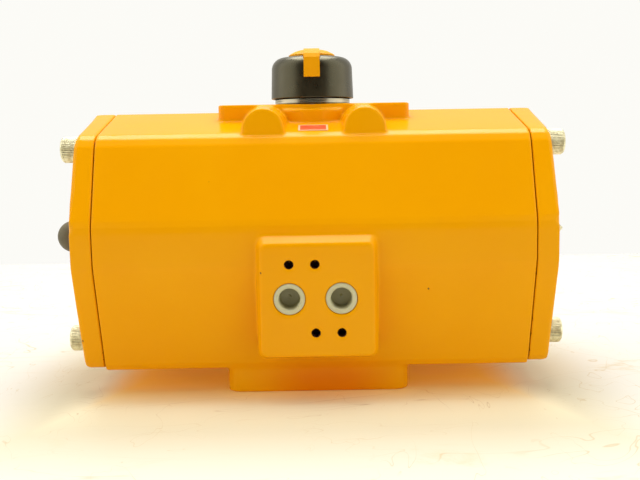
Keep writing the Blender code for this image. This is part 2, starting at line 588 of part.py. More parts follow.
def make_indicator():
    edge = [(DIAL_R - 0.5 - DIAL_EDGE_R * (1 - math.cos(math.pi / 2 * k / 3)),
             DIAL_TOP_Z - DIAL_EDGE_R * (1 - math.sin(math.pi / 2 * k / 3))) for k in range(4)]
    profile = [(DIAL_R - 1.7, DIAL_LOW_Z), (DIAL_R, DIAL_LOW_Z)] + edge
    profile += [(HUB_R + GAP, DIAL_TOP_Z), (HUB_R + GAP, DIAL_TOP_Z - HUB_SINK),
                (SCREW_HOLE_R, DIAL_TOP_Z - HUB_SINK), (SCREW_HOLE_R, PINION_TOP_Z + GAP),
                (STUB_R + GAP, PINION_TOP_Z + GAP), (STUB_R + GAP, 76), (14.6, 76),
                (14.6, 86.4), (16.5, 87.2), (DIAL_R - 2.1, 84.0)]
    dial = body("indicator_dial", turned("Z", profile))
    slot_y = -DIAL_R - 5
    slot = rectangle(POINTER_HALF + GAP, (-8 - slot_y) / 2, 0.1, (0, (slot_y - 8) / 2), steps=1)
    cut(dial, prism("Z", slot, DIAL_TOP_Z - HUB_SINK, DIAL_TOP_Z + 5))
    coat(dial, "dial_plastic")

    low = DIAL_TOP_Z - HUB_SINK + GAP
    screw_seat = low + 2.2
    profile = [(SCREW_HOLE_R, low), (HUB_R, low), (HUB_R, HUB_EDGE_Z),
               (HUB_R - 0.6, HUB_EDGE_Z + 0.5), (8.6, HUB_TOP_Z - 0.6), (6.5, HUB_TOP_Z),
               (6.5, screw_seat), (SCREW_HOLE_R, screw_seat)]
    pointer = body("pointer", turned("Z", profile, ROUND_STEPS))
    outer_y = -DIAL_R - GAP - POINTER_THICK
    strip = [(-6.9, low), (-6.9, POINTER_TOP_Z), (-12, POINTER_TOP_Z - 0.7), (-18, 93.3),
             (outer_y + 1.4, 91.8), (outer_y, 89.8), (outer_y, POINTER_LOW_Z),
             (outer_y + POINTER_THICK, POINTER_LOW_Z), (outer_y + POINTER_THICK, 87.5),
             (-20.6, 90.2), (-18.5, 91.7), (-16, 91.7), (-16, low)]
    join(pointer, prism("X", strip, -POINTER_HALF, POINTER_HALF))
    coat(pointer, "pointer_plastic")

    screw_low = PINION_TOP_Z - 12
    head_low = screw_seat + GAP
    profile = [(0, screw_low), (SCREW_R, screw_low), (SCREW_R, head_low),
               (SCREW_HEAD_R, head_low), (SCREW_HEAD_R, head_low + 2.0),
               (SCREW_HEAD_R - 0.6, head_low + 2.6), (0, head_low + 2.6)]
    screw = body("indicator_screw", turned("Z", profile, SMALL_STEPS))
    across = rectangle(0.6, 7, 0.1, steps=1)
    cut(screw, prism("Z", across, head_low + 1.3, head_low + 6))
    coat(screw, "zinc_steel")


# ---- Trim ----------------------------------------------------------------------------------

def make_port_plugs():
    """Soft transport plugs: a lip that lies in the port's recess and a cup inside the port."""
    face_y = PAD_FACE_Y + 0.1
    back_y = PAD_FACE_Y + PORT_RECESS - GAP
    lip_r = PORT_RECESS_R - GAP
    cup_r = PORT_R - GAP
    floor_y = face_y + 8.5
    profile = [(0, floor_y), (4.0, floor_y), (4.6, face_y + 0.6), (5.2, face_y),
               (lip_r - 0.3, face_y), (lip_r, face_y + 0.3), (lip_r, back_y), (cup_r, back_y),
               (cup_r - 0.3, floor_y + 1.5), (0, floor_y + 1.5)]
    for side, x in (("left", -PORT_X), ("right", PORT_X)):
        body(f"{side}_port_plug", turned("Y", profile, ROUND_STEPS, (x, PORT_Z)), "plug_plastic")


def make_label():
    """A plain red sticker with a pale edge, lying on the front slope between the lugs."""
    slope = math.atan2(RIDGE_Z - SHOULDER_Z, SHOULDER_Y)
    reach = [30.2 / math.cos(slope), 40.6 / math.cos(slope)]
    lift = [0.1, 0.3]
    outline = []
    for distance, height in ((reach[0], lift[0]), (reach[1], lift[0]),
                             (reach[1], lift[1]), (reach[0], lift[1])):
        y = -distance * math.cos(slope) - height * math.sin(slope)
        z = RIDGE_Z - distance * math.sin(slope) + height * math.cos(slope)
        outline.append((y, z))
    body("label", prism("X", outline, -7.0, 7.4), "label_red")


def clear_scene():
    for item in list(bpy.data.objects):
        bpy.data.objects.remove(item)


def main():
    clear_scene()
    make_housing()
    make_end_caps()
    make_cap_bolts()
    make_stops()
    make_pistons()
    make_pinion()
    make_bearings()
    make_indicator()
    make_port_plugs()
    make_label()


main()
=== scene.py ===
import json
import math

import bmesh
import bpy
from mathutils import Matrix, Vector


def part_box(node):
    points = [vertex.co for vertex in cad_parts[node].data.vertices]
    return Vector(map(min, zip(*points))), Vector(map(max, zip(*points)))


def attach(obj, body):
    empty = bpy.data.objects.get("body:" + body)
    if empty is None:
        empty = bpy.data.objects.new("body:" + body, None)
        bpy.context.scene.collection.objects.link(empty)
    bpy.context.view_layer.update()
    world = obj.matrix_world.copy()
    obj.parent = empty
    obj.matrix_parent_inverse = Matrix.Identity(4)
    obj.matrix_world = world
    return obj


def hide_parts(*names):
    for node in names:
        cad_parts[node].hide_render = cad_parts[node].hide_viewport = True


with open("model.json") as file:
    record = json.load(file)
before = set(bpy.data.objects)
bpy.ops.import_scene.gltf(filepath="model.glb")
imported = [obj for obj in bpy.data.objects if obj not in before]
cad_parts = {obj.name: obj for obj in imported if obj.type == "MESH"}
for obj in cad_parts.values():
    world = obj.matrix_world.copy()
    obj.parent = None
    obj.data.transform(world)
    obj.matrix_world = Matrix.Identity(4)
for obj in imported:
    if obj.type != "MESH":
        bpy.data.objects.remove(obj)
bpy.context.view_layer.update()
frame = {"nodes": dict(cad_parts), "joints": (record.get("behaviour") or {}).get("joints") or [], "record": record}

MM = 0.001
# The pinion's axis and the cylinder's axis cross here.  The joint gives x and y, and the
# middle of a piston seal gives the height.  Shapes are drawn in millimetres about this point.
PIN_JOINT = next(joint for joint in frame["joints"] if joint["name"] == "pinion_turn")
SEAL_LOW, SEAL_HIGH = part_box("left_piston_seal")
ORIGIN = Vector((PIN_JOINT["pos_m"][0], PIN_JOINT["pos_m"][1], (SEAL_LOW.z + SEAL_HIGH.z) / 2))

# Measures in millimetres about the crossing point, as the CAD solids have them
BORE_R, JOINT_X, SPOT_FACE_X = 50.02, 103.25, 111.9
BOLT_Y, BOLT_Z, BOLT_TIP_X, BOLT_R, BOLT_HOLE_R = 40.0, 46.1, 86.0, 4.0, 4.3
PLATFORM_Z, ACCESSORY_X, ACCESSORY_Y = 67.0, 40.0, 15.0
FOOT_BOLT = 24.75
PAD_FACE_Y, PORT_X, PORT_Z = -67.4, 12.0, -23.6
VALVE_SCREWS = ((-12, PORT_Z + 16), (0, PORT_Z + 16), (0, PORT_Z - 16), (12, PORT_Z - 16))
M5_HOLE_R, M8_HOLE_R = 2.1, 3.4
DIAL_R, DIAL_LOW_Z, DIAL_TOP_Z, DIAL_EDGE_R = 21.4, 70.2, 91.3, 6.0

ROUND = 96  # steps round a turned shape
WELD = 2e-6  # metres between corners that count as one


def local_box(node):
    """A CAD node's corners in millimetres about the crossing point."""
    return tuple((corner - ORIGIN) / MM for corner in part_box(node))


# ---- Camera and light ----------------------------------------------------------------------

def make_camera():
    """In front of the actuator and a little above it, leaning by one degree."""
    yaw, pitch, roll = 0.0023, 0.1173, -0.0175
    ahead = Vector((math.sin(yaw) * math.cos(pitch), math.cos(yaw) * math.cos(pitch),
                    -math.sin(pitch)))
    side = ahead.cross(Vector((0, 0, 1))).normalized()
    up = side.cross(ahead)
    right = side * math.cos(roll) + up * math.sin(roll)
    top = up * math.cos(roll) - side * math.sin(roll)
    data = bpy.data.cameras.new("camera")
    data.sensor_width = 36.0
    data.sensor_fit = "HORIZONTAL"
    data.lens = 47.81
    data.clip_start, data.clip_end = 0.01, 20.0
    camera = bpy.data.objects.new("camera", data)
    bpy.context.scene.collection.objects.link(camera)
    axes = Matrix((right, top, -ahead)).transposed().to_4x4()
    camera.matrix_world = Matrix.Translation(ORIGIN + Vector((1.65, -451.5, 48.9)) * MM) @ axes
    bpy.context.scene.camera = camera


def area_light(name, at, size, power, shows_in_gloss=True):
    """A rectangular lamp that points at the actuator and that the camera doesn't see."""
    data = bpy.data.lights.new(name, "AREA")
    data.shape = "RECTANGLE"
    data.size, data.size_y = size
    data.energy = power
    data.color = (1.0, 0.98, 0.94)
    lamp = bpy.data.objects.new(name, data)
    lamp.location = at
    lamp.rotation_mode = "QUATERNION"
    lamp.rotation_quaternion = (ORIGIN - Vector(at)).to_track_quat("-Z", "Y")
    lamp.visible_camera = False
    lamp.visible_glossy = shows_in_gloss
    bpy.context.scene.collection.objects.link(lamp)


def make_light():
    """A white tent that is open, and so dark, on the side of the camera."""
    scene = bpy.context.scene
    scene.view_settings.view_transform = "Standard"
    world = bpy.data.worlds.new("studio")
    world.use_nodes = True
    scene.world = world
    nodes, links = world.node_tree.nodes, world.node_tree.links

    def calculate(operation, first, second=None):
        node = nodes.new("ShaderNodeMath")
        node.operation = operation
        links.new(first, node.inputs[0])
        if isinstance(second, float):
            node.inputs[1].default_value = second
        elif second is not None:
            links.new(second, node.inputs[1])
        return node.outputs["Value"]

    direction = nodes.new("ShaderNodeTexCoord")
    parts = nodes.new("ShaderNodeSeparateXYZ")
    links.new(direction.outputs["Generated"], parts.inputs["Vector"])
    # Round the horizon, from nought behind the actuator to one at the camera's side
    turn = calculate("ABSOLUTE", calculate("ARCTAN2", parts.outputs["X"], parts.outputs["Y"]))
    walls = nodes.new("ShaderNodeValToRGB")
    links.new(calculate("DIVIDE", turn, math.pi), walls.inputs["Fac"])
    ramp = walls.color_ramp
    ramp.elements[0].position, ramp.elements[0].color = 0.0, (0.45, 0.45, 0.45, 1.0)
    ramp.elements[1].position, ramp.elements[1].color = 1.0, (0.02, 0.02, 0.02, 1.0)
    for position, value in ((0.35, 0.5), (0.45, 1.0), (0.68, 0.8), (0.73, 0.6), (0.77, 0.02)):
        ramp.elements.new(position).color = (value, value, value, 1.0)
    over = nodes.new("ShaderNodeMapRange")
    over.interpolation_type = "SMOOTHSTEP"
    for socket, value in (("From Min", 0.82), ("From Max", 0.96), ("To Min", 0.0),
                          ("To Max", 0.6)):
        over.inputs[socket].default_value = value
    links.new(parts.outputs["Z"], over.inputs["Value"])
    level = calculate("MULTIPLY",
                      calculate("MAXIMUM", walls.outputs["Color"], over.outputs["Result"]), 1.7)
    tent = nodes["Background"]
    tent.inputs["Color"].default_value = (1.0, 0.975, 0.90, 1.0)
    links.new(level, tent.inputs["Strength"])
    # The camera sees a plain wall instead
    wall = nodes.new("ShaderNodeBackground")
    wall.inputs["Color"].default_value = (0.974, 0.966, 0.925, 1.0)
    path = nodes.new("ShaderNodeLightPath")
    mix = nodes.new("ShaderNodeMixShader")
    links.new(path.outputs["Is Camera Ray"], mix.inputs["Fac"])
    links.new(tent.outputs["Background"], mix.inputs[1])
    links.new(wall.outputs["Background"], mix.inputs[2])
    links.new(mix.outputs["Shader"], nodes["World Output"].inputs["Surface"])
    area_light("ceiling", (0.0, 0.3, 1.2), (1.0, 0.9), 16.2)
    area_light("fill from the left", (-0.8, -1.2, 0.45), (0.9, 0.7), 3.4, False)
    area_light("fill from the right", (0.8, -1.2, 0.45), (0.9, 0.7), 3.4, False)


# ---- Node helpers --------------------------------------------------------------------------

class Material:
    """A Principled material and short names for the nodes that feed it."""

    def __init__(self, name, colour, roughness, metallic=0.0, **extra):
        self.made = bpy.data.materials.new(name)
        self.made.use_nodes = True
        self.made.diffuse_color = (*colour, 1.0)
        self.nodes = self.made.node_tree.nodes
        self.links = self.made.node_tree.links
        self.shader = self.nodes["Principled BSDF"]
        self.place = self.nodes.new("ShaderNodeTexCoord").outputs["Object"]
        self.set("Base Color", (*colour, 1.0))
        self.set("Roughness", roughness)
        self.set("Metallic", metallic)
        for socket, value in extra.items():
            self.set(socket.replace("_", " "), value)

    def set(self, socket, value):
        self.shader.inputs[socket].default_value = value

    def feed(self, socket, output):
        self.links.new(output, self.shader.inputs[socket])

    def stretched(self, scale):
        """The object's coordinates, stretched along its axes."""
        node = self.nodes.new("ShaderNodeMapping")
        node.inputs["Scale"].default_value = scale
        self.links.new(self.place, node.inputs["Vector"])
        return node.outputs["Vector"]

    def noise(self, scale, detail=3.0, rough=0.55, place=None, distortion=0.0):
        node = self.nodes.new("ShaderNodeTexNoise")
        node.inputs["Scale"].default_value = scale
        node.inputs["Detail"].default_value = detail
        node.inputs["Roughness"].default_value = rough
        node.inputs["Distortion"].default_value = distortion
        self.links.new(place or self.place, node.inputs["Vector"])
        return node.outputs["Fac"]

    def cells(self, scale):
        """A pattern of cells, each with its own colour and the distance from its middle."""
        node = self.nodes.new("ShaderNodeTexVoronoi")
        node.inputs["Scale"].default_value = scale
        self.links.new(self.place, node.inputs["Vector"])
        return node

    def fit(self, value, low, high, to_low=0.0, to_high=1.0):
        """Lead a value smoothly from one range to another."""
        node = self.nodes.new("ShaderNodeMapRange")
        node.interpolation_type = "SMOOTHSTEP"
        node.clamp = True
        for socket, number in (("From Min", low), ("From Max", high),
                               ("To Min", to_low), ("To Max", to_high)):
            node.inputs[socket].default_value = number
        self.links.new(value, node.inputs["Value"])
        return node.outputs["Result"]

    def math(self, operation, first, second=0.0):
        node = self.nodes.new("ShaderNodeMath")
        node.operation = operation
        for socket, value in zip(node.inputs, (first, second)):
            if isinstance(value, (int, float)):
                socket.default_value = value
            else:
                self.links.new(value, socket)
        return node.outputs["Value"]

    def mix(self, share, first, second):
        """A colour between two, where the share says how much of the second."""
        node = self.nodes.new("ShaderNodeMix")
        node.data_type = "RGBA"
        self.links.new(share, node.inputs["Factor"])
        for socket, value in ((node.inputs[6], first), (node.inputs[7], second)):
            if isinstance(value, tuple):
                socket.default_value = (*value, 1.0)
            else:
                self.links.new(value, socket)
        return node.outputs[2]

    def axes(self):
        node = self.nodes.new("ShaderNodeSeparateXYZ")
        self.links.new(self.place, node.inputs["Vector"])
        return node.outputs["X"], node.outputs["Y"], node.outputs["Z"]

    def bump(self, height, distance, strength=1.0, below=None):
        node = self.nodes.new("ShaderNodeBump")
        node.inputs["Strength"].default_value = strength
        node.inputs["Distance"].default_value = distance
        self.links.new(height, node.inputs["Height"])
        if below is not None:
            self.links.new(below, node.inputs["Normal"])
        self.feed("Normal", node.outputs["Normal"])
        return node.outputs["Normal"]


# ---- Materials -----------------------------------------------------------------------------

def bare_and_shaded_holes(made):
    """One inside the pad's screw holes, where the metal is bare and painted dark as shade, and nought outside."""
    x, y, z = made.axes()
    half_depth, skin, reach = 4.8, 0.4, 2.7
    middle = made.math("SUBTRACT", y, ORIGIN.y + (PAD_FACE_Y + skin + half_depth) * MM)
    inside = made.math("LESS_THAN", made.math("ABSOLUTE", middle), half_depth * MM)
    near = None
    for hole_x, hole_z in VALVE_SCREWS:
        across = made.math("SUBTRACT", x, ORIGIN.x + hole_x * MM)
        up = made.math("SUBTRACT", z, ORIGIN.z + hole_z * MM)
        apart = made.math("SQRT", made.math("ADD", made.math("MULTIPLY", across, across),
                                            made.math("MULTIPLY", up, up)))
        close = made.math("LESS_THAN", apart, reach * MM)
        near = close if near is None else made.math("MAXIMUM", near, close)
    return made.math("MULTIPLY", near, inside)


def paint():
    """Glossy yellow paint over a cast surface, with a few chips, a worn cap joint, painted shade on the foot's
    front and painted shade in the screw holes.
    """
    made = Material("yellow paint", (0.85, 0.36, 0.0015), 0.27, Specular_IOR_Level=0.12)
    cloud = made.fit(made.noise(14.0, 4.0), 0.3, 0.7)
    colour = made.mix(cloud, (0.84, 0.345, 0.0003), (0.86, 0.37, 0.0006))
    # Small dark chips: few cells of the pattern hold one
    cells = made.cells(90.0)
    chosen = made.fit(made.math("FRACT", made.math("MULTIPLY", cells.outputs["Color"], 7.31)),
                      0.7, 0.705)
    ragged = made.math("ADD", cells.outputs["Distance"],
                       made.math("MULTIPLY", made.noise(900.0, 2.0), 0.05))
    chip = made.math("MULTIPLY", made.fit(ragged, 0.055, 0.075, 1.0, 0.0), chosen)
    colour = made.mix(chip, colour, (0.16, 0.06, 0.01))
    # Paint cracked away along the joint between each cap and the housing
    x, y, z = made.axes()
    off_joint = made.math("ABSOLUTE", made.math(
        "SUBTRACT", made.math("ABSOLUTE", made.math("SUBTRACT", x, ORIGIN.x)), JOINT_X * MM))
    ragged = made.math("MULTIPLY", made.fit(made.noise(260.0, 4.0, 0.7), 0.6, 0.8), 0.0006)
    crack = made.math("LESS_THAN", made.math("SUBTRACT", off_joint, ragged), 0.00016)
    colour = made.mix(crack, colour, (0.42, 0.15, 0.006))
    # Painted shade: a deeper, darker orange in the middle of the foot's front, under the pad
    low = made.fit(z, ORIGIN.z - 0.068, ORIGIN.z - 0.050, 1.0, 0.0)
    middle = made.fit(made.math("ABSOLUTE", made.math("SUBTRACT", x, ORIGIN.x + 0.006)),
                      0.006, 0.046, 1.0, 0.0)
    front = made.math("LESS_THAN", y, ORIGIN.y - 0.03)
    painted_foot_shade = made.math("MULTIPLY", made.math("MULTIPLY", low, middle), front)
    colour = made.mix(painted_foot_shade, colour, (0.74, 0.2, 0.0003))
    # Bare metal inside the pad's screw holes, darkened with painted shade
    colour = made.mix(bare_and_shaded_holes(made), colour, (0.2, 0.085, 0.05))
    made.feed("Base Color", colour)
    gloss = made.fit(made.noise(60.0, 4.0), 0.25, 0.75, 0.13, 0.24)
    made.feed("Roughness", made.math("ADD", gloss, made.math("MULTIPLY", chip, 0.4)))
    coarse = made.bump(made.noise(95.0, 3.0), 0.00016, 0.5)
    made.bump(made.noise(1100.0, 2.0), 0.00006, 0.25, below=coarse)
    return made.made


def zinc():
    """Yellowed zinc plating with dull blotches."""
    made = Material("zinc plating", (0.55, 0.5, 0.36), 0.42, 1.0)
    blotch = made.fit(made.noise(420.0, 5.0, 0.65), 0.35, 0.65)
    made.feed("Base Color", made.mix(blotch, (0.64, 0.58, 0.36), (0.92, 0.86, 0.6)))
    made.feed("Roughness", made.fit(blotch, 0.0, 1.0, 0.55, 0.36))
    made.bump(made.noise(1500.0, 3.0), 0.00005, 0.5)
    return made.made


def moulding(name, dark, light, low, high, level=0.5, tint=(1.0, 1.0, 1.0)):
    """Moulded plastic with a fine grain and a slightly uneven gloss."""
    made = Material(name, dark, low, Specular_IOR_Level=level, Specular_Tint=(*tint, 1.0))
    cloud = made.fit(made.noise(70.0, 4.0), 0.3, 0.7)
    made.feed("Base Color", made.mix(cloud, dark, light))
    made.feed("Roughness", made.fit(made.noise(160.0, 3.0), 0.3, 0.7, low, high))
    made.bump(made.noise(1800.0, 2.0), 0.00003, 0.5)
    return made.made


def milky():
    """Soft milky plastic of the port plugs, with painted shade deeper in the port."""
    made = Material("milky plastic", (0.6, 0.56, 0.38), 0.38, Subsurface_Weight=0.25,
                    Subsurface_Radius=(0.004, 0.003, 0.0015))
    _, y, _ = made.axes()
    # Painted shade: the cup darker the deeper it lies in the port
    depth = made.fit(y, ORIGIN.y + (PAD_FACE_Y + 1.0) * MM, ORIGIN.y + (PAD_FACE_Y + 8.0) * MM)
    made.feed("Base Color", made.mix(depth, (0.56, 0.53, 0.33), (0.34, 0.31, 0.16)))
    made.feed("Roughness", made.fit(made.noise(300.0), 0.3, 0.7, 0.3, 0.46))
    made.bump(made.noise(700.0), 0.00006, 0.5)
    return made.made


def turned_metal(name, dark, light, low, high, axis):
    """Machined metal with fine turning lines across the named axis."""
    made = Material(name, light, low, 1.0)
    scale = [60.0, 60.0, 60.0]
    scale["XYZ".index(axis)] = 5200.0
    lines = made.noise(1.0, 2.0, place=made.stretched(scale))
    made.feed("Base Color", made.mix(made.fit(lines, 0.3, 0.7), dark, light))
    made.feed("Roughness", made.fit(lines, 0.3, 0.7, low, high))
    made.bump(lines, 0.00002, 0.5)
    return made.made


def rubber():
    """Dull black rubber of the seals."""
    made = Material("black rubber", (0.02, 0.02, 0.019), 0.6)
    made.feed("Roughness", made.fit(made.noise(240.0, 3.0), 0.3, 0.7, 0.5, 0.72))
    made.bump(made.noise(2200.0, 2.0), 0.00004, 0.6)
    return made.made


def sticker():
    """A plain red sticker with a pale border."""
    made = Material("red sticker", (0.7, 0.2, 0.09), 0.45, Specular_IOR_Level=0.2)
    x, y, _ = made.axes()
    low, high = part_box("label")
    border = 0.9 * MM
    inside = None
    for value, start, end in ((x, low.x, high.x), (y, low.y, high.y)):
        reach = made.math("SUBTRACT", (end - start) / 2,
                          made.math("ABSOLUTE", made.math("SUBTRACT", value, (start + end) / 2)))
        clear = made.math("GREATER_THAN", reach, border)
        inside = clear if inside is None else made.math("MULTIPLY", inside, clear)
    worn = made.fit(made.noise(500.0, 3.0), 0.4, 0.62)
    red = made.mix(worn, (0.68, 0.075, 0.02), (0.74, 0.14, 0.045))
    made.feed("Base Color", made.mix(inside, (0.78, 0.52, 0.3), red))
    made.feed("Roughness", made.fit(worn, 0.0, 1.0, 0.4, 0.55))
    made.bump(made.noise(400.0), 0.00003, 0.4)
    return made.made


def table_top():
    """A white table with faint tan scuffs, with the actuator's shadow and yellow bounce light painted on, and a
    painted glow under it.
    """
    made = Material("white table", (0.93, 0.91, 0.84), 0.55, Specular_IOR_Level=0.3)
    streaks = made.noise(9.0, 8.0, 0.72, place=made.stretched((1.0, 2.6, 1.0)), distortion=1.3)
    stain = made.fit(streaks, 0.56, 0.74)
    scuffs_and_painted_light = made.mix(stain, (0.655, 0.655, 0.62), (0.58, 0.53, 0.4))
    # Painted yellow bounce light and shadow from the actuator, by how far a place is outside its shadow
    shadow_half_x, shadow_half_y = 0.098, 0.048
    x, y, _ = made.axes()
    off_x = made.math("SUBTRACT", made.math("ABSOLUTE", x), shadow_half_x)
    off_y = made.math("SUBTRACT", made.math("ABSOLUTE", y), shadow_half_y)
    off = made.math("MAXIMUM", off_y, made.math("MULTIPLY", off_x, 2.2))
    # Painted yellow halo, wide around the actuator
    painted_halo_around = made.fit(off, 0.03, 0.14, 1.0, 0.0)
    scuffs_and_painted_light = made.mix(painted_halo_around, scuffs_and_painted_light, (0.62, 0.58, 0.42))
    # Painted yellow bounce light close to the actuator
    near = made.fit(off, 0.0, 0.055, 1.0, 0.0)
    scuffs_and_painted_light = made.mix(near, scuffs_and_painted_light, (0.93, 0.88, 0.64))
    # Fine curved scratches, in patches
    for scale, stretch in ((6.0, (1.0, 2.2, 1.0)), (11.0, (2.0, 1.0, 1.0))):
        wave = made.noise(scale, 2.0, 0.5, place=made.stretched(stretch), distortion=2.4)
        apart = made.math("ABSOLUTE", made.math("SUBTRACT", wave, 0.5))
        scratch = made.fit(apart, 0.0, 0.0045, 0.6, 0.0)
        patch = made.fit(made.noise(scale * 1.7, 3.0), 0.42, 0.56)
        scuffs_and_painted_light = made.mix(made.math("MULTIPLY", scratch, patch), scuffs_and_painted_light, (0.5, 0.4, 0.22))
    # Painted shadow under the actuator, orange with painted bounce light, and a painted glow where there is no
    # lamp
    painted_bounce_under = made.fit(off, -0.03, 0.022, 1.0, 0.0)
    made.feed("Base Color", made.mix(painted_bounce_under, scuffs_and_painted_light, (0.98, 0.7, 0.15)))
    made.feed("Emission Color", made.mix(painted_bounce_under, (0.0, 0.0, 0.0), (0.13, 0.07, 0.002)))
    made.set("Emission Strength", 1.0)
    made.feed("Roughness", made.fit(streaks, 0.3, 0.7, 0.5, 0.65))
    return made.made


# ---- Shapes --------------------------------------------------------------------------------

def along(axis, u, v, w):
    """An outline point (u, v) at the distance w along the named axis."""
    return {"X": Vector((w, u, v)), "Y": Vector((u, w, v)), "Z": Vector((u, v, w))}[axis]


def turned(axis, profile, steps=ROUND, at=(0.0, 0.0)):
    """Turn a profile of (radius, distance) points into a closed shape."""
    shape = bmesh.new()
    rings = []
    for radius, distance in profile:
        if radius < 1e-6:
            rings.append([shape.verts.new(along(axis, at[0], at[1], distance))] * steps)
            continue
        rings.append([shape.verts.new(along(
            axis, at[0] + radius * math.cos(math.tau * k / steps),
            at[1] + radius * math.sin(math.tau * k / steps), distance)) for k in range(steps)])
    if profile[0][0] > 1e-6:
        rings.append(rings[0])
    for lower, upper in zip(rings, rings[1:]):
        for k in range(steps):
            j = (k + 1) % steps
            corners = [lower[k], lower[j], upper[j], upper[k]]
            corners = [v for i, v in enumerate(corners) if v not in corners[:i]]
            if len(corners) > 2:
                shape.faces.new(corners)
    return shape


def face_out(shape):
    """Turn a closed shape's faces outwards."""
    bmesh.ops.recalc_face_normals(shape, faces=shape.faces)
    if shape.calc_volume(signed=True) < 0:
        bmesh.ops.reverse_faces(shape, faces=shape.faces)


def piece(name, shape, material, body, *stands_for, crease=35.0):
    """Make a piece from a shape in millimetres about the crossing point."""
    face_out(shape)
    bmesh.ops.scale(shape, vec=(MM, MM, MM), verts=shape.verts)
    bmesh.ops.translate(shape, vec=ORIGIN, verts=shape.verts)
    mesh = bpy.data.meshes.new(name)
    shape.to_mesh(mesh)
    shape.free()
    made = bpy.data.objects.new(name, mesh)
    bpy.context.scene.collection.objects.link(made)
    if material is not None:
        dress(made, material, crease)
        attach(made, body)
        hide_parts(*stands_for)
    return made


def dress(made, material, crease=35.0):
    """One material, and smooth shading up to the crease angle."""
    made.data.materials.clear()
    made.data.materials.append(material)
    made.data.shade_smooth()
    made.data.set_sharp_from_angle(angle=math.radians(crease))


def settle(made):
    """Keep what the modifiers give as the mesh itself."""
    bpy.context.view_layer.update()
    result = bpy.data.meshes.new_from_object(
        made.evaluated_get(bpy.context.evaluated_depsgraph_get()))
    made.modifiers.clear()
    made.data = result
    result.name = made.name


def cut(made, shape):
    """Take a shape in millimetres away from a piece."""
    tool = piece("tool", shape, None, None)
    step = made.modifiers.new("cut", "BOOLEAN")
    step.operation = "DIFFERENCE"
    step.solver = "MANIFOLD"
    step.object = tool
    settle(made)
    bpy.data.objects.remove(tool)


def together(shapes):
    """Several closed shapes that don't touch, as one."""
    result = bmesh.new()
    for shape in shapes:
        face_out(shape)
        mesh = bpy.data.meshes.new("part of a tool")
        shape.to_mesh(mesh)
        shape.free()
        result.from_mesh(mesh)
        bpy.data.meshes.remove(mesh)
    return result


# ---- Castings ------------------------------------------------------------------------------

def cast(name, node, voxel, passes, keep):
    """A casting: the CAD solid with every edge and inner corner softly rounded.

    The solid is skinned with small cells, smoothed in a number of passes and thinned again.
    """
    coarser = 1.0
    shape = bmesh.new()
    shape.from_mesh(frame["nodes"][node].data)
    bmesh.ops.remove_doubles(shape, verts=shape.verts, dist=WELD)
    mesh = bpy.data.meshes.new(name)
    shape.to_mesh(mesh)
    shape.free()
    made = bpy.data.objects.new(name, mesh)
    bpy.context.scene.collection.objects.link(made)
    remesh = made.modifiers.new("skin", "REMESH")
    remesh.mode = "VOXEL"
    remesh.voxel_size = voxel * coarser
    smooth = made.modifiers.new("round", "SMOOTH")
    smooth.factor = 0.5
    smooth.iterations = passes
    thin = made.modifiers.new("thin", "DECIMATE")
    thin.ratio = keep * coarser
    settle(made)
    return made


def tapped(axis, radius, chamfer, mouth, floor, at):
    """A tapped hole's cutter: an open mouth, a chamfer and a cylinder down to the floor."""
    outward = math.copysign(1.0, mouth - floor)
    profile = [(0, mouth + 3 * outward), (radius + chamfer, mouth + 3 * outward),
               (radius + chamfer, mouth), (radius, mouth - chamfer * outward), (radius, floor),
               (0, floor - 0.6 * radius * outward)]
    return turned(axis, profile, 32, at)


def make_housing():
    """The casting, with a true bore and crisp holes cut into it."""
    made = cast("housing_casting", "housing", voxel=0.0007, passes=3, keep=0.12)
    cut(made, turned("X", [(0, -110), (BORE_R, -110), (BORE_R, 110), (0, 110)], 128))
    holes = []
    for at in VALVE_SCREWS:
        holes.append(tapped("Y", M5_HOLE_R, 0.3, PAD_FACE_Y, PAD_FACE_Y + 9, at))
    for x in (-PORT_X, PORT_X):
        port_r, seat_r, rim_r = 6.6, 7.5, 7.9
        profile = [(0, PAD_FACE_Y - 5), (rim_r, PAD_FACE_Y - 5), (rim_r, PAD_FACE_Y),
                   (seat_r, PAD_FACE_Y + 0.4), (seat_r, PAD_FACE_Y + 1.3),
                   (port_r, PAD_FACE_Y + 1.3), (port_r, PAD_FACE_Y + 12.5),
                   (0, PAD_FACE_Y + 12.5)]
        holes.append(turned("Y", profile, 64, (x, PORT_Z)))
    foot_z = local_box("housing")[0].z
    for x in (-1, 1):
        for y in (-1, 1):
            holes.append(tapped("Z", M5_HOLE_R, 0.45, PLATFORM_Z, PLATFORM_Z - 9,
                                (ACCESSORY_X * x, ACCESSORY_Y * y)))
            holes.append(tapped("Z", M8_HOLE_R, 0.6, foot_z, foot_z + 14,
                                (FOOT_BOLT * x, FOOT_BOLT * y)))
    cut(made, together(holes))
    finish_casting(made, "housing")


def make_caps():
    """Both end caps, with a hole for each bolt."""
    for node, side in (("left_end_cap", -1), ("right_end_cap", 1)):
        made = cast(node + "_casting", node, voxel=0.0006, passes=3, keep=0.14)
        holes = [tapped("X", BOLT_HOLE_R, 0.35, SPOT_FACE_X * side, 100.0 * side,
                        (BOLT_Y * y, BOLT_Z * z)) for y in (-1, 1) for z in (-1, 1)]
        cut(made, together(holes))
        finish_casting(made, node)


def finish_casting(made, node):
    """Paint a casting and put it in the place of its CAD node."""
    dress(made, FINISH["body_paint"], 40.0)
    even = made.modifiers.new("even shading", "WEIGHTED_NORMAL")
    even.keep_sharp = True
    even.weight = 60
    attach(made, "housing")
    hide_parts(node)


# ---- Bolts and stops -----------------------------------------------------------------------

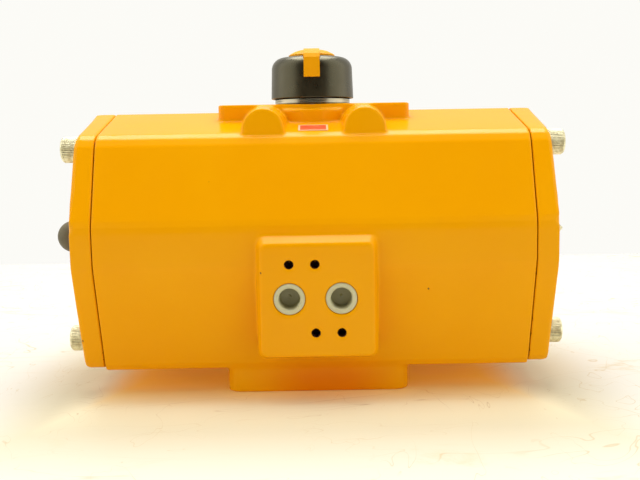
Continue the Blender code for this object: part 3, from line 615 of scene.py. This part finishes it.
def bolt_shape(end_x, side, centre):
    """An M8 socket-head bolt with a knurled head: end_x is the head's outer face.

    Each point of the profile says its radius, its distance and whether it is knurled.
    """
    teeth, per_tooth = 44, 4
    steps = teeth * per_tooth
    shape = bmesh.new()
    tip, under_head = BOLT_TIP_X, end_x - 8.0
    profile = [(0.0, tip, 0), (BOLT_R - 0.7, tip, 0), (BOLT_R, tip + 0.7, 0),
               (BOLT_R, under_head, 0), (5.7, under_head, 0), (5.95, end_x - 7.75, 0),
               (5.97, end_x - 7.6, 1), (5.97, end_x - 1.0, 1), (5.95, end_x - 0.85, 0),
               (5.85, end_x - 0.45, 0), (5.45, end_x - 0.1, 0), (5.1, end_x, 0)]
    rings = []
    for radius, distance, knurled in profile:
        ring = []
        for k in range(steps):
            angle = math.tau * k / steps
            bump = (0.0, 0.16, 0.22, 0.16)[k % per_tooth] if knurled else 0.0
            ring.append(shape.verts.new(along("X", centre[0] + (radius + bump) * math.cos(angle),
                                              centre[1] + (radius + bump) * math.sin(angle),
                                              distance * side)))
        rings.append(ring)
    # The hexagonal socket, with its round mouth
    for reach, depth in ((3.75, 0.0), (3.35, 0.35), (3.35, 4.0), (0.0, 5.0)):
        ring = []
        for k in range(steps):
            angle = math.tau * k / steps
            in_side = (angle % (math.pi / 3)) - math.pi / 6
            radius = reach if depth == 0.0 else reach * math.cos(math.pi / 6) / math.cos(in_side)
            ring.append(shape.verts.new(along("X", centre[0] + radius * math.cos(angle),
                                              centre[1] + radius * math.sin(angle),
                                              (end_x - depth) * side)))
        rings.append(ring)
    for lower, upper in zip(rings, rings[1:]):
        for k in range(steps):
            j = (k + 1) % steps
            shape.faces.new((lower[k], lower[j], upper[j], upper[k]))
    bmesh.ops.remove_doubles(shape, verts=shape.verts, dist=1e-4)
    return shape


def make_bolts():
    """Each bolt stands where its CAD node does."""
    for side_name, side in (("left", -1), ("right", 1)):
        for row in ("front", "rear"):
            for level in ("lower", "upper"):
                node = f"{side_name}_cap_bolt_{row}_{level}"
                low, high = local_box(node)
                centre = ((low.y + high.y) / 2, (low.z + high.z) / 2)
                end_x = max(abs(low.x), abs(high.x))
                made = piece(node + "_knurled", bolt_shape(end_x, side, centre),
                             FINISH["zinc_steel"], "housing", node)


def make_cover():
    """The soft dome over the left stop screw."""
    low, high = local_box("left_screw_cover")
    radius, wall = (high.y - low.y) / 2, 0.65
    outer, inner = [], []
    for k in range(17):
        angle = math.pi / 2 * k / 16
        outer.append((radius * math.sin(angle), low.x + radius * (1 - math.cos(angle))))
        inner.append(((radius - wall) * math.sin(angle),
                      low.x + radius - (radius - wall) * math.cos(angle)))
    outer += [(radius, high.x - 1.2), (radius - 0.2, high.x)]
    inner += [(radius - wall, high.x)]
    made = piece("left_screw_cover_dome", turned("X", outer + inner[::-1]),
                 FINISH["cover_plastic"], "left_stop", "left_screw_cover")


# ---- Indicator -----------------------------------------------------------------------------

def make_dial():
    """The black cap, with a slot in its edge for the pointer's strip."""
    radius, base, top, edge_r = DIAL_R, DIAL_LOW_Z, DIAL_TOP_Z, DIAL_EDGE_R
    profile = [(radius - 1.5, base), (radius - 0.35, base), (radius - 0.1, base + 0.12),
               (radius, base + 0.4)]
    centre_r, centre_z = radius - 0.5 - edge_r, top - edge_r
    for k in range(15):
        angle = math.pi / 2 * k / 14
        profile.append((centre_r + edge_r * math.cos(angle), centre_z + edge_r * math.sin(angle)))
    profile += [(12.6, top), (12.3, top - 0.3), (12.3, top - 1.6), (3.4, top - 1.6), (3.4, 84.3),
                (11.3, 84.3), (11.3, 76), (14.6, 76), (14.6, 86.4), (16.5, 87.2), (19.3, 84.0)]
    made = piece("indicator_dial_moulded", turned("Z", profile, 128), None, None)
    slot_size, slot_middle = (8.6, 18.4, 6.6), (0.0, -17.2, top + 1.7)
    slot = bmesh.new()
    bmesh.ops.create_cube(slot, size=1.0)
    bmesh.ops.scale(slot, vec=slot_size, verts=slot.verts)
    bmesh.ops.translate(slot, vec=slot_middle, verts=slot.verts)
    cut(made, slot)
    dress(made, FINISH["dial_plastic"], 30.0)
    even = made.modifiers.new("even shading", "WEIGHTED_NORMAL")
    even.keep_sharp = True
    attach(made, "pinion")
    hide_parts("indicator_dial")


def make_washer():
    """The bright ring under the dial."""
    low, high = local_box("steel_washer")
    outer, inner, edge = high.x, 14.3, 0.25
    profile = [(inner, low.z), (outer - edge, low.z), (outer, low.z + edge),
               (outer, high.z - edge), (outer - edge, high.z), (inner, high.z)]
    made = piece("steel_washer_turned", turned("Z", profile, 128), FINISH["washer_steel"],
                 "pinion", "steel_washer")


def make_plugs():
    """A cup in each port, with a lip that is flush with the pad and a nub on its floor."""
    for side_name, x in (("left", -PORT_X), ("right", PORT_X)):
        face = PAD_FACE_Y + 0.1
        profile = [(0, face + 7.5), (0.4, face + 7.6), (0.8, face + 8.5), (4.4, face + 8.5),
                   (4.75, face + 8.2), (4.9, face + 0.9), (5.1, face + 0.3), (5.5, face),
                   (6.8, face), (7.1, face + 0.12), (7.2, face + 0.35), (7.2, face + 0.9),
                   (6.3, face + 0.9), (6.0, face + 10.0), (0, face + 10.0)]
        made = piece(f"{side_name}_port_plug_cup", turned("Y", profile, 64, (x, PORT_Z)),
                     FINISH["plug_plastic"], "housing", f"{side_name}_port_plug")


def dress_cad_nodes():
    """Give the CAD nodes their finish, and the pointer and label soft edges."""
    slots = {part["node"]: part["material_slot"] for part in frame["record"]["subparts"]}
    for name, node in frame["nodes"].items():
        node.data.materials.clear()
        node.data.materials.append(FINISH[slots[name]])
        if node.hide_render:
            continue
        weld = node.modifiers.new("weld", "WELD")
        weld.merge_threshold = WELD
        if name in ("pointer", "label"):
            bevel = node.modifiers.new("edge", "BEVEL")
            bevel.width = 0.0003 if name == "pointer" else 0.00006
            bevel.segments = 3
            bevel.limit_method = "ANGLE"
            bevel.angle_limit = math.radians(40)


def make_table():
    """A table just below the foot, which ends behind the actuator."""
    half_x, front, back, top = 2.5, -2.5, 0.42, -0.0002
    mesh = bpy.data.meshes.new("table")
    mesh.from_pydata([(-half_x, front, top), (half_x, front, top), (half_x, back, top),
                      (-half_x, back, top)], [], [(0, 1, 2, 3)])
    mesh.materials.append(table_top())
    table = bpy.data.objects.new("table", mesh)
    bpy.context.scene.collection.objects.link(table)


# ---- The whole -----------------------------------------------------------------------------

make_camera()
make_light()

FINISH = {
    "body_paint": paint(),
    "zinc_steel": zinc(),
    "dial_plastic": moulding("black plastic", (0.008, 0.006, 0.003), (0.013, 0.01, 0.005),
                             0.26, 0.34, level=1.0, tint=(1.0, 0.94, 0.62)),
    "pointer_plastic": moulding("yellow plastic", (0.78, 0.335, 0.0005), (0.82, 0.36, 0.0008),
                                0.34, 0.44, level=0.12),
    "cover_plastic": moulding("grey rubbery plastic", (0.1, 0.082, 0.04), (0.13, 0.11, 0.055),
                              0.5, 0.62),
    "bearing_plastic": moulding("natural acetal", (0.7, 0.67, 0.55), (0.76, 0.73, 0.62),
                                0.4, 0.5),
    "plug_plastic": milky(),
    "washer_steel": turned_metal("bright steel", (0.3, 0.27, 0.18), (0.6, 0.56, 0.43),
                                 0.16, 0.3, "Z"),
    "spring_steel": turned_metal("spring steel", (0.1, 0.1, 0.1), (0.2, 0.2, 0.2), 0.3, 0.45,
                                 "Z"),
    "pinion_steel": turned_metal("machined steel", (0.4, 0.4, 0.39), (0.56, 0.56, 0.55),
                                 0.26, 0.4, "Z"),
    "piston_alloy": turned_metal("machined aluminium", (0.6, 0.61, 0.62), (0.78, 0.79, 0.8),
                                 0.28, 0.42, "X"),
    "seal_rubber": rubber(),
    "label_red": sticker(),
}

make_table()
make_housing()
make_caps()
make_bolts()
make_cover()
make_dial()
make_washer()
make_plugs()
dress_cad_nodes()
